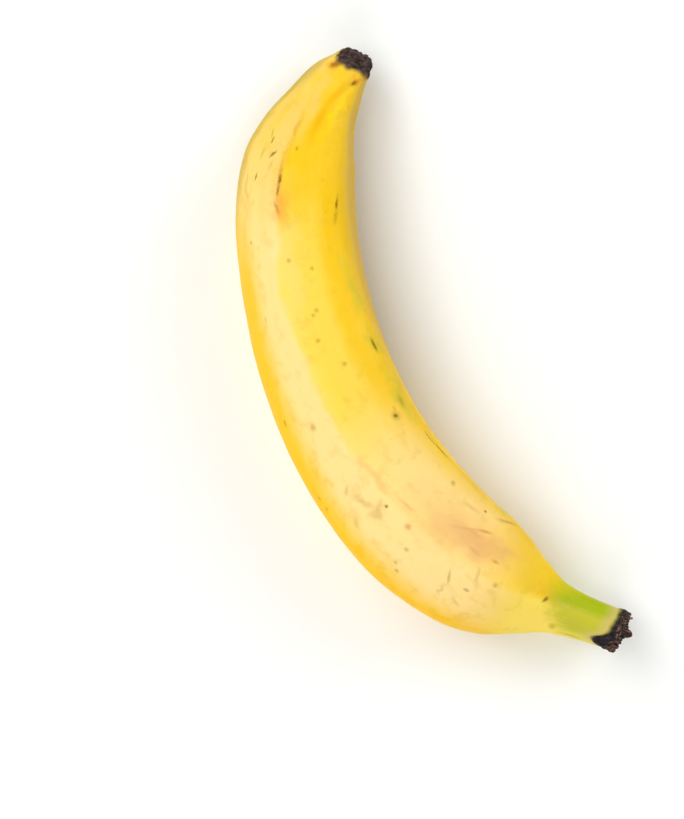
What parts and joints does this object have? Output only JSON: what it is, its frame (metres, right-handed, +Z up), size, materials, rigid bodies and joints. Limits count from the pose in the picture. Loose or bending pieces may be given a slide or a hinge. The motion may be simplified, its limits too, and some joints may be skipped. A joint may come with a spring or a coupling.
{
  "type": "plantain",
  "caption": "Ripe yellow plantain, whole and unpeeled, lying on its side, with a green neck, a dark cut stalk and a dried flower scab at the tip.",
  "frame": {"origin": "centre of the bounding box, on the surface that the fruit lies on", "axes": "+X from the flower tip towards the cut stalk, +Y towards the inside of the bend, +Z up"},
  "size_m": [0.2394, 0.0874, 0.0476],
  "materials": {
    "peel": "satin"
  },
  "bodies": {
    "root": {"plantain": "peel"}
  },
  "joints": []
}
